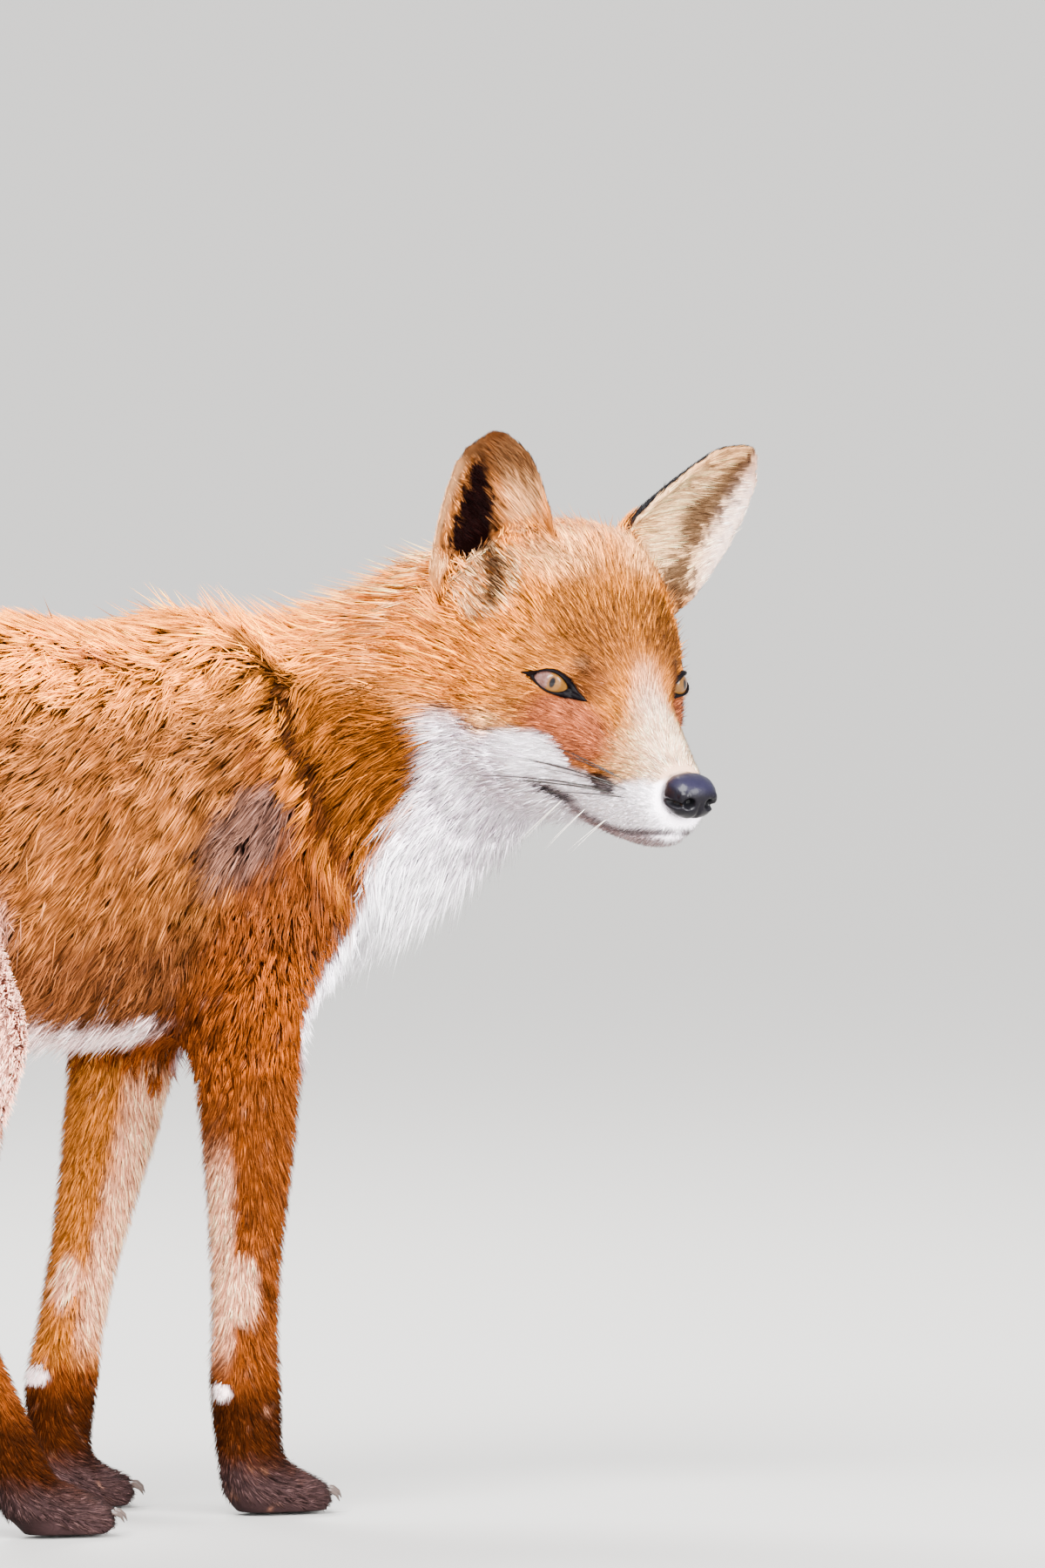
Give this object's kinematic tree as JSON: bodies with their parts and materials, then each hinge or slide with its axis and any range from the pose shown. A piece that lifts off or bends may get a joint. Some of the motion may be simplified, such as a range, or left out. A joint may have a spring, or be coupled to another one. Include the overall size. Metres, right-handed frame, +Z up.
{
  "type": "red fox model",
  "caption": "Life-size still model of a standing red fox in full coat, head turned to its right, one hind leg drawn forward and the brush hanging behind.",
  "frame": {"origin": "on the floor, at the middle of the model's footprint box", "axes": "+X is the way the body faces, +Y its left side, +Z up; the head looks towards -Y"},
  "size_m": [0.8948, 0.3142, 0.4888],
  "materials": {
    "red_coat": "red fox fur, orange-red guard hairs over a paler underfur",
    "white_coat": "white fur",
    "dark_coat": "short dark brown fur",
    "eye": "polished amber glass with a dark pupil",
    "nose_leather": "bare, finely grained, slightly moist black skin"
  },
  "bodies": {
    "root": {"head": "red_coat", "neck": "red_coat", "trunk": "red_coat", "tail_base": "red_coat", "tail_brush": "red_coat", "tail_tip": "white_coat", "foreleg_right": "red_coat", "foreleg_left": "red_coat", "forepaw_right": "dark_coat", "forepaw_left": "dark_coat", "hindleg_right": "red_coat", "hindleg_left": "red_coat", "hindfoot_right": "red_coat", "hindfoot_left": "red_coat", "ear_right": "red_coat", "ear_left": "red_coat", "eye_right": "eye", "eye_left": "eye", "nose": "nose_leather"}
  },
  "joints": []
}
